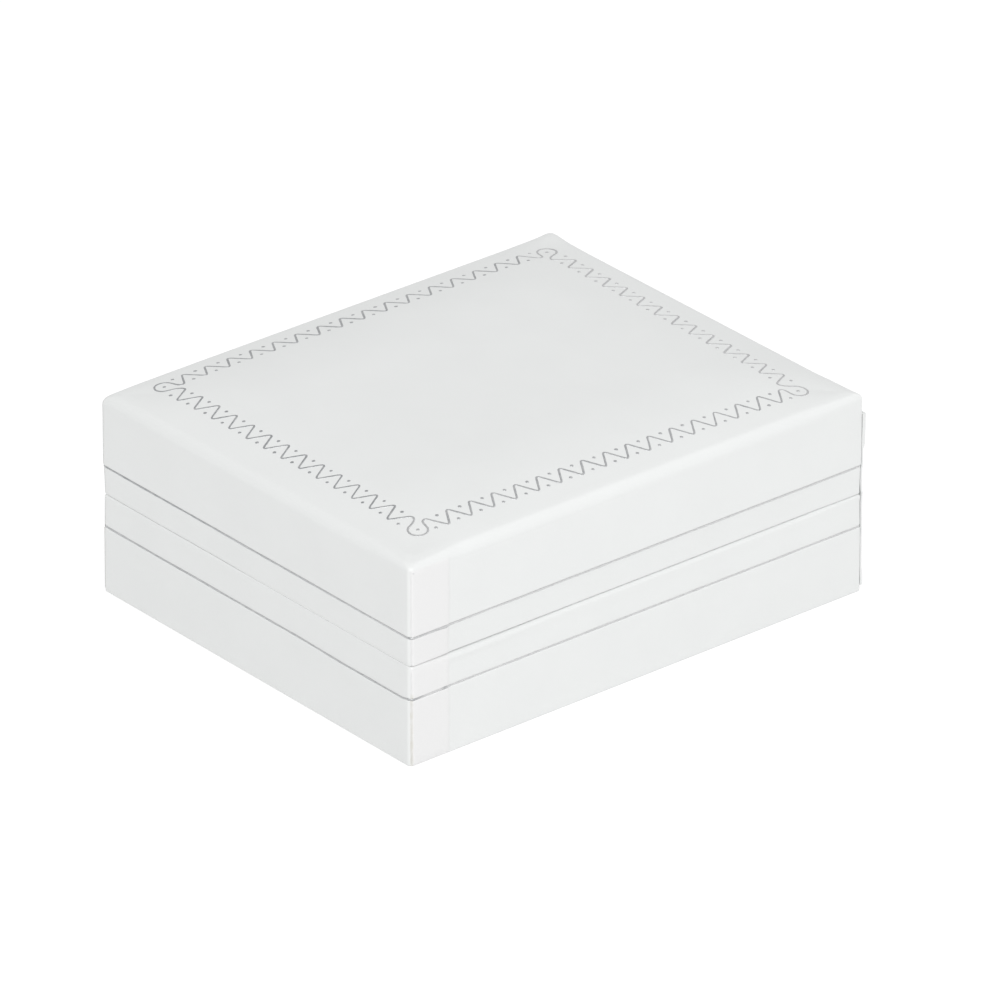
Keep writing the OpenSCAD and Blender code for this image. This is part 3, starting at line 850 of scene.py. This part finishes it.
def gather(piece, near):
    """Cloth with a little more fabric than its frame, blown down by the wadding and held along its edge.

    It is simulated ten times larger, and no point moves more than 1.6 mm."""
    scale, frames = 10.0, 24
    mesh = piece.data
    mesh.transform(Matrix.Scale(scale, 4))
    group = piece.vertex_groups.new(name="held")
    for i in np.nonzero(near < 0.4)[0]:
        group.add([int(i)], 1.0, "REPLACE")
    cloth = piece.modifiers.new("cloth", "CLOTH")
    satin_cloth = cloth.settings
    satin_cloth.quality = 6
    satin_cloth.mass = 0.12
    satin_cloth.tension_stiffness = satin_cloth.compression_stiffness = 18
    satin_cloth.shear_stiffness = 6
    satin_cloth.bending_stiffness = 0.15
    satin_cloth.vertex_group_mass = "held"
    satin_cloth.shrink_min = -0.045
    satin_cloth.use_pressure = True
    satin_cloth.uniform_pressure_force = 1.3
    satin_cloth.effector_weights.gravity = 0
    cloth.collision_settings.use_collision = False
    cloth.collision_settings.use_self_collision = False
    scene = bpy.context.scene
    cloth.point_cache.frame_start, cloth.point_cache.frame_end = 1, frames
    scene.frame_start, scene.frame_end = 1, frames
    start = points_of(mesh) / scale
    for f in range(1, frames + 1):
        scene.frame_set(f)
        bpy.context.view_layer.update()
    graph = bpy.context.evaluated_depsgraph_get()
    move = points_of(piece.evaluated_get(graph).to_mesh()) / scale - start
    piece.modifiers.remove(cloth)
    scene.frame_set(1)
    far = np.linalg.norm(move, axis=1)
    move *= (np.minimum(far, 1.6 * MM) / np.maximum(far, 1e-9))[:, None]
    move_points(mesh, start + move)


# the cuts in the velvet pad, as in the CAD
HOLES_X, HOLES_Y, HOLE_D = 11, 4.0, 1.4
TONGUE_X, TONGUE_Y, TONGUE_W = 7, 14.5, 0.45
SLITS_X, SLITS_Y, SLIT_L, SLIT_W, SLIT_TURN = 13, 27, 8, 0.5, 35
PAD_EDGE_R = 1.5
PAD_FALL = 0.28  # how much lower the pad is at its edges


def pad_dips(gx, gy):
    """How far the foam gives round each cut."""
    dips = [(0.38, np.hypot(gx - s * HOLES_X, gy - HOLES_Y), 1.1) for s in (-1, 1)]
    aside = np.abs(np.abs(gx) - 6.75)
    tongue = np.where(gy < -14.9, np.hypot(aside, gy + TONGUE_Y), np.where(gy < 0.6, aside, 9))
    cross = np.where(np.abs(gx) < 7.2, np.abs(gy + 14.25), 9)
    dips.append((0.24, np.minimum(tongue, cross), 0.8))
    for s in (-1, 1):
        u, v = turned(gx - s * SLITS_X, gy - SLITS_Y, -math.radians(SLIT_TURN * s))
        dips.append((0.24, np.hypot(np.maximum(np.abs(u) - SLIT_L / 2, 0), v), 0.8))
    return dips


def cutter(outline, low, high):
    """An upright prism over an outline."""
    m = len(outline)
    faces = [tuple(range(m - 1, -1, -1)), tuple(range(m, 2 * m))]
    faces += [(i, (i + 1) % m, m + (i + 1) % m, m + i) for i in range(m)]
    made = make_mesh("cut", [(x, y, z) for z in (low, high) for x, y in outline], faces, False)
    outward(made)
    return made


def slot_outline(cx, cy, length, wide, turn=0.0, ends=5):
    """The outline of a slit with rounded ends."""
    outline = []
    c, sine = math.cos(turn), math.sin(turn)
    for s in (1, -1):
        for i in range(ends + 1):
            a = -math.pi / 2 + math.pi * i / ends
            u, v = s * (length / 2 - wide / 2) + s * wide / 2 * math.cos(a), s * wide / 2 * math.sin(a)
            outline.append((cx + u * c - v * sine, cy + u * sine + v * c))
    return outline


def build_velvet():
    """The velvet pad in the base, with earring holes, a pendant tongue and two chain slits."""
    low, high = box_mm("insert_velvet")
    flat_x, flat_y = high[0] - 0.05 - PAD_EDGE_R, high[1] - 0.05 - PAD_EDGE_R
    top, floor = high[2] - 0.1, low[2]
    cell = 0.62
    xs, ys = (np.linspace(-half, half, int(2 * half / cell) + 1) for half in (flat_x, flat_y))
    gx, gy = np.meshgrid(xs, ys, indexing="ij")
    near = np.minimum(flat_x - np.abs(gx), flat_y - np.abs(gy))
    z = np.full(gx.shape, top) - PAD_FALL * (1 - fade(0, 9, near))
    for depth, d, width in pad_dips(gx, gy):
        z -= depth * bell(d, width)
    p = grid_points(gx, gy, z)
    p[:, 2] += soft_noise(p, 8.0, 21.0) * 0.05
    verts = [tuple(v) for v in p]
    faces, rim = grid_faces(len(xs), len(ys)), grid_rim(len(xs), len(ys))

    def direction(x, y):
        on_x, on_y = abs(abs(x) - flat_x) < 1e-6, abs(abs(y) - flat_y) < 1e-6
        d = np.array([math.copysign(1, x) if on_x else 0.0, math.copysign(1, y) if on_y else 0.0])
        return d / np.linalg.norm(d) * (1.18 if on_x and on_y else 1.0)

    outwards = [direction(x, y) for x, y, _ in p[rim]]
    # the middle of the back edge leaves room for the spring
    room = [0.75 * (1 - fade(8, 13, abs(x))) if y > flat_y - 0.01 else 0.0 for x, y, _ in p[rim]]
    rounded = [math.pi / 2 * i / 8 for i in range(1, 9)]
    rows = [(PAD_EDGE_R * math.sin(a), PAD_EDGE_R * math.cos(a) - PAD_EDGE_R) for a in rounded]
    rows += [(PAD_EDGE_R, share) for share in (0.75, 0.5, 0.25, 0.06)]
    ring = rim
    for out, h in rows:
        after = [len(verts) + k for k in range(len(rim))]
        for (x, y, edge_z), away, less in zip(p[rim], outwards, room):
            height = edge_z + h if h <= 0 else floor + (top - PAD_FALL - PAD_EDGE_R - floor) * h
            verts.append((x + away[0] * out, y + away[1] * out - less * out / PAD_EDGE_R, height))
        faces += band_faces(ring, after)
        ring = after
    faces.append(tuple(reversed(ring)))
    piece = make_mesh("velvet_pad", verts, faces)
    outward(piece)

    inner_x, inner_y = TONGUE_X - TONGUE_W, TONGUE_Y - TONGUE_W
    tongue = [(-TONGUE_X, 0), (-TONGUE_X, -TONGUE_Y), (TONGUE_X, -TONGUE_Y), (TONGUE_X, 0),
              (inner_x, 0), (inner_x, -inner_y), (-inner_x, -inner_y), (-inner_x, 0)]
    cutters = [cutter(slot_outline(s * HOLES_X, HOLES_Y, HOLE_D + 0.0001, HOLE_D, 0.0, 10), top - 5, top + 1)
               for s in (-1, 1)]
    cutters.append(cutter(tongue, top - 4.2, top + 1))
    for s in (-1, 1):
        slit = slot_outline(s * SLITS_X, SLITS_Y, SLIT_L, SLIT_W, math.radians(SLIT_TURN * s))
        cutters.append(cutter(slit, top - 4, top + 1))
    for made in cutters:
        cut = piece.modifiers.new("cut", "BOOLEAN")
        cut.operation = "DIFFERENCE"
        cut.solver = "EXACT"
        cut.object = made
    apply_all(piece)
    for made in cutters:
        bpy.data.objects.remove(made)
    piece.data.polygons.foreach_set("use_smooth", [True] * len(piece.data.polygons))
    piece.data.set_sharp_from_angle(angle=math.radians(50))
    return piece


# ---------- materials ----------

def new_material(name):
    mat = bpy.data.materials.new(name)
    mat.use_nodes = True
    return mat, mat.node_tree, mat.node_tree.nodes["Principled BSDF"]


def feed(tree, made, inputs):
    """Give a node's inputs, by name or number, their values or link them to other nodes' outputs."""
    for key, value in inputs.items():
        if isinstance(value, bpy.types.NodeSocket):
            tree.links.new(value, made.inputs[key])
        else:
            made.inputs[key].default_value = value


def node(tree, kind, **inputs):
    """A new node. Underscores stand for the spaces in the names of its inputs."""
    made = tree.nodes.new(kind)
    feed(tree, made, {key.replace("_", " "): value for key, value in inputs.items()})
    return made


def coordinates(tree, stretch=(1, 1, 1)):
    """Object coordinates in millimetres."""
    place = tree.nodes.new("ShaderNodeTexCoord").outputs["Object"]
    return node(tree, "ShaderNodeMapping", Scale=[1000 * s for s in stretch], Vector=place).outputs["Vector"]


def noise_texture(tree, vector, scale, detail=3.0, rough=0.5):
    made = node(tree, "ShaderNodeTexNoise", Scale=scale, Detail=detail, Roughness=rough, Vector=vector)
    return made.outputs["Fac"]


def wave_texture(tree, vector, bands, scale, distortion):
    made = node(tree, "ShaderNodeTexWave", Scale=scale, Distortion=distortion, Detail=1.0, Vector=vector)
    made.bands_direction = bands
    return made.outputs["Fac"]


def ramp(tree, value, *stops):
    """A colour ramp through stops of (position, (red, green, blue))."""
    made = node(tree, "ShaderNodeValToRGB", Fac=value)
    elements = made.color_ramp.elements
    for element, (position, colour) in zip((elements[0], elements[1]), (stops[0], stops[-1])):
        element.position, element.color = position, (*colour, 1)
    for position, colour in stops[1:-1]:
        elements.new(position).color = (*colour, 1)
    return made.outputs["Color"]


def spread(tree, value, low, high):
    return node(tree, "ShaderNodeMapRange", To_Min=low, To_Max=high, Value=value).outputs["Result"]


def bump(tree, height, distance, strength=1.0, under=None):
    made = node(tree, "ShaderNodeBump", Strength=strength, Distance=distance * MM, Height=height)
    if under is not None:
        feed(tree, made, {"Normal": under})
    return made.outputs["Normal"]


def mix_colour(tree, share, a, b):
    """Colour a mixed with b, which is a colour or a node's output."""
    made = tree.nodes.new("ShaderNodeMix")
    made.data_type = "RGBA"
    feed(tree, made, {0: share, 6: a, 7: (*b, 1) if isinstance(b, tuple) else b})
    return made.outputs[2]


def marked(tree, name):
    """An attribute of the mesh."""
    made = tree.nodes.new("ShaderNodeAttribute")
    made.attribute_name = name
    return made.outputs["Fac"]


def product(tree, a, b):
    made = tree.nodes.new("ShaderNodeMath")
    made.operation = "MULTIPLY"
    feed(tree, made, {0: a, 1: b})
    return made.outputs["Value"]


def darker(colour, share):
    return tuple(c * share for c in colour)


LEATHER = (0.660, 0.670, 0.666)
FLAP_LEATHER = (0.672, 0.671, 0.671)
WORN_LEATHER = (0.50, 0.48, 0.40)
RUBBED_FOIL = (0.72, 0.72, 0.72)


def leatherette():
    mat, tree, shader = new_material("white_leatherette")
    mm = coordinates(tree)
    mottle = noise_texture(tree, mm, 0.11, 2.0)
    colour = ramp(tree, mottle, (0.3, darker(LEATHER, 0.992)), (0.7, darker(LEATHER, 1.008)))
    colour = mix_colour(tree, marked(tree, "flap"), colour, FLAP_LEATHER)
    patches = noise_texture(tree, mm, 0.5, 3.0)
    wear = product(tree, marked(tree, "worn"), spread(tree, patches, -0.5, 1.1))
    colour = mix_colour(tree, wear, colour, WORN_LEATHER)
    grain = node(tree, "ShaderNodeTexVoronoi", Scale=3.4, Randomness=1.0, Vector=mm)
    grain.feature = "SMOOTH_F1"
    fine = noise_texture(tree, mm, 6.0, 4.0)
    soft = noise_texture(tree, mm, 0.35, 2.0)
    normal = bump(tree, soft, 0.05, 0.35)
    normal = bump(tree, grain.outputs["Distance"], 0.02, 0.35, normal)
    normal = bump(tree, fine, 0.01, 0.3, normal)
    feed(tree, shader, {"Base Color": colour, "Normal": normal, "Roughness": spread(tree, fine, 0.36, 0.5),
                        "Specular IOR Level": 0.4})
    return mat


def foil():
    mat, tree, shader = new_material("silver_foil")
    mm = coordinates(tree)
    worn = noise_texture(tree, mm, 1.4, 4.0, 0.6)
    colour = ramp(tree, worn, (0.28, (0.30, 0.31, 0.32)), (0.55, (0.42, 0.43, 0.44)),
                  (0.75, (0.52, 0.52, 0.52)))
    thin = product(tree, marked(tree, "rubbed"), spread(tree, worn, 0.55, 1.0))
    fine = noise_texture(tree, mm, 9.0, 3.0)
    feed(tree, shader, {"Base Color": mix_colour(tree, thin, colour, RUBBED_FOIL), "Metallic": 0.85,
                        "Roughness": spread(tree, fine, 0.28, 0.5), "Normal": bump(tree, fine, 0.012, 0.5)})
    return mat


def satin():
    mat, tree, shader = new_material("white_satin")
    mm = coordinates(tree)
    tone = noise_texture(tree, mm, 0.16, 2.0)
    colour = ramp(tree, tone, (0.3, (0.79, 0.78, 0.755)), (0.7, (0.815, 0.805, 0.78)))
    normal = bump(tree, wave_texture(tree, mm, "X", 1.3, 0.6), 0.012, 0.4)
    normal = bump(tree, wave_texture(tree, mm, "Y", 3.0, 0.4), 0.008, 0.3, normal)
    slubs = noise_texture(tree, coordinates(tree, (0.2, 3, 1)), 1.2, 3.0)
    feed(tree, shader, {"Base Color": colour, "Normal": normal, "Roughness": spread(tree, slubs, 0.24, 0.34),
                        "Anisotropic": 0.6, "Sheen Weight": 0.25, "Sheen Roughness": 0.35})
    return mat


def velvet():
    mat, tree, shader = new_material("white_velvet")
    mm = coordinates(tree)
    nap = noise_texture(tree, mm, 0.09, 3.0, 0.55)
    pile = noise_texture(tree, mm, 5.0, 3.0, 0.7)
    colour = ramp(tree, nap, (0.35, (0.66, 0.645, 0.61)), (0.62, (0.76, 0.75, 0.725)))
    speck = ramp(tree, pile, (0.3, (0.62, 0.60, 0.57)), (0.7, (0.80, 0.79, 0.77)))
    normal = bump(tree, noise_texture(tree, mm, 0.22, 2.0), 0.25, 0.35)
    normal = bump(tree, pile, 0.09, 0.8, normal)
    feed(tree, shader, {"Base Color": mix_colour(tree, 0.35, colour, speck), "Normal": normal,
                        "Roughness": 0.95, "Sheen Weight": 0.7, "Sheen Roughness": 0.4,
                        "Specular IOR Level": 0.15})
    return mat


def speckled(name, low, high, scale, rough, depth, metallic=0.0, stretch=(1, 1, 1)):
    """A plain material with its own grain: board, paper, plastic, foam or metal."""
    mat, tree, shader = new_material(name)
    mm = coordinates(tree, stretch)
    grain = noise_texture(tree, mm, scale, 4.0, 0.6)
    wide = noise_texture(tree, mm, scale * 0.08, 2.0)
    colour = ramp(tree, grain, (0.3, low), (0.7, high))
    dark = ramp(tree, wide, (0.3, darker(low, 0.95)), (0.7, high))
    feed(tree, shader, {"Base Color": mix_colour(tree, 0.4, colour, dark), "Metallic": metallic,
                        "Roughness": spread(tree, grain, *rough), "Normal": bump(tree, grain, depth, 0.6)})
    return mat


leather_mat, foil_mat, satin_mat, velvet_mat = leatherette(), foil(), satin(), velvet()
shell_mat = speckled("shell_plastic", (0.66, 0.66, 0.64), (0.72, 0.72, 0.70), 1.6, (0.4, 0.5), 0.01)
card_mat = speckled("grey_card", (0.60, 0.58, 0.54), (0.72, 0.70, 0.66), 3.0, (0.75, 0.9), 0.03)
liner_mat = speckled("satin_paper", (0.76, 0.75, 0.72), (0.82, 0.81, 0.78), 4.0, (0.38, 0.5), 0.01,
                     stretch=(1, 1, 0.25))
paper_mat = speckled("bottom_paper", (0.64, 0.63, 0.60), (0.74, 0.73, 0.70), 2.6, (0.7, 0.88), 0.025)
foam_mat = speckled("white_foam", (0.68, 0.68, 0.64), (0.80, 0.80, 0.77), 5.0, (0.85, 0.95), 0.12)
steel_mat = speckled("hinge_steel", (0.45, 0.46, 0.47), (0.58, 0.59, 0.60), 3.0, (0.24, 0.4), 0.006,
                     metallic=1.0, stretch=(0.15, 1, 1))
spring_mat = speckled("spring_steel", (0.40, 0.41, 0.43), (0.55, 0.56, 0.58), 6.0, (0.18, 0.3), 0.003,
                      metallic=1.0, stretch=(1, 1, 0.1))


def finished(piece, mat, slot, *nodes, body=None, fill=None):
    """The piece in its material, in place of its CAD nodes, riding on a body; its fill is not used."""
    piece.data.materials.clear()
    piece.data.materials.append(mat)
    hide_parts(*nodes)
    if body:
        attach(piece, body)
    return piece


# ---------- assembly ----------

lid_skin = finished(build_lid_skin(), leather_mat, "leatherette", "lid_cover", body="lid")
base_skin = finished(build_base_skin(), leather_mat, "leatherette", "base_cover", body="base")
finished(build_wave(), foil_mat, "silver_foil", "lid_border_wave", body="lid")
finished(build_dots(), foil_mat, "silver_foil", "lid_border_dots", body="lid")
lid_line = build_side_line("foil_line_lid", LID_LINE, 31.0)
finished(lid_line, foil_mat, "silver_foil", "lid_foil_line", body="lid")
base_line = build_side_line("foil_line_base", BASE_LINE, 47.0)
finished(base_line, foil_mat, "silver_foil", "base_foil_line", body="base")
finished(build_top_foam(), foam_mat, "foam", "lid_top_pad", body="lid", fill=0.9)
finished(build_puff(), satin_mat, "satin", "lid_lining_satin", "lid_lining_wadding", body="lid", fill=0.7)
finished(build_velvet(), velvet_mat, "velvet", "insert_velvet", "insert_foam", body="insert", fill=0.95)
spine = finished(build_spine(), leather_mat, "leatherette", "spine_strip")
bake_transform(spine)
spring = finished(build_spring(), spring_mat, "spring_steel", "hinge_spring")
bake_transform(spring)

for name, mat in (
    ("base_shell", shell_mat), ("lid_shell", shell_mat), ("lid_lining_card", card_mat),
    ("insert_card", card_mat), ("lid_wall_liner", liner_mat), ("base_wall_liner", liner_mat),
    ("base_bottom_sheet", paper_mat), ("hinge_leaf_lid", steel_mat), ("hinge_leaf_base", steel_mat),
    ("hinge_pin", steel_mat),
):
    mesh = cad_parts[name].data
    if len(mesh.materials) == 0:
        mesh.materials.append(mat)
    for i in range(len(mesh.materials)):
        mesh.materials[i] = mat

# ---------- stage ----------

FLOOR_HALF = 8000
floor = make_mesh("floor", [(-FLOOR_HALF, -FLOOR_HALF, 0), (FLOOR_HALF, -FLOOR_HALF, 0),
                            (FLOOR_HALF, FLOOR_HALF, 0), (-FLOOR_HALF, FLOOR_HALF, 0)], [(0, 1, 2, 3)], False)
floor_mat, floor_tree, floor_shader = new_material("pale_floor")
feed(floor_tree, floor_shader, {"Base Color": (0.30, 0.30, 0.30, 1), "Roughness": 0.9,
                                "Specular IOR Level": 0.0, "Emission Color": (1, 1, 1, 1),
                                "Emission Strength": 0.72})
floor.data.materials.append(floor_mat)

world = bpy.data.worlds.new("studio")
bpy.context.scene.world = world
world.use_nodes = True
feed(world.node_tree, world.node_tree.nodes["Background"], {"Color": (1, 1, 1, 1), "Strength": 0.7})


def toward(azimuth, elevation):
    """A unit vector from the box. Azimuth 0 is in front of the opening, 90 at the right."""
    flat = math.cos(elevation)
    return Vector((math.sin(azimuth) * flat, -math.cos(azimuth) * flat, math.sin(elevation)))


def softbox(name, azimuth, elevation, power):
    """A square area light 1.6 m away, aimed at the box."""
    aim = Vector((0, 0, 0.02))
    light = bpy.data.lights.new(name, "AREA")
    light.shape = "SQUARE"
    light.size = 0.9
    light.energy = power
    made = in_scene(name, light)
    made.location = toward(math.radians(azimuth), math.radians(elevation)) * 1.6 + aim
    made.rotation_euler = (made.location - aim).to_track_quat("Z", "Y").to_euler()
    made.visible_camera = False


softbox("key_light", 50, 45, 14.6)
softbox("back_light", 180, 45, 3.3)
softbox("low_right_light", 75, 12, 2.9)
softbox("left_light", -80, 40, 0.5)

# ---------- camera ----------

AZIMUTH, ELEVATION, ROLL = math.radians(50.236), math.radians(27.202), math.radians(0.068)
FAR, ASIDE, ABOVE = 25.191, 0.037, 0.189  # the camera's place, in widths of the box
back = toward(AZIMUTH, ELEVATION)
right = (-back).cross(Vector((0, 0, 1))).normalized()
up = right.cross(-back)
turned_right = math.cos(ROLL) * right + math.sin(ROLL) * up
turned_up = -math.sin(ROLL) * right + math.cos(ROLL) * up
place = (back * FAR + right * ASIDE + up * ABOVE) * W * MM
camera_data = bpy.data.cameras.new("camera")
camera_data.sensor_width = 36
camera_data.lens = 437.2
camera_data.clip_start, camera_data.clip_end = 0.1, 60
camera_data.dof.use_dof = False
camera = in_scene("camera", camera_data)
camera.matrix_world = Matrix((
    (turned_right.x, turned_up.x, back.x, place.x),
    (turned_right.y, turned_up.y, back.y, place.y),
    (turned_right.z, turned_up.z, back.z, place.z),
    (0, 0, 0, 1),
))
bpy.context.scene.camera = camera
bpy.context.scene.view_settings.view_transform = "Standard"
bpy.context.scene.view_settings.look = "None"
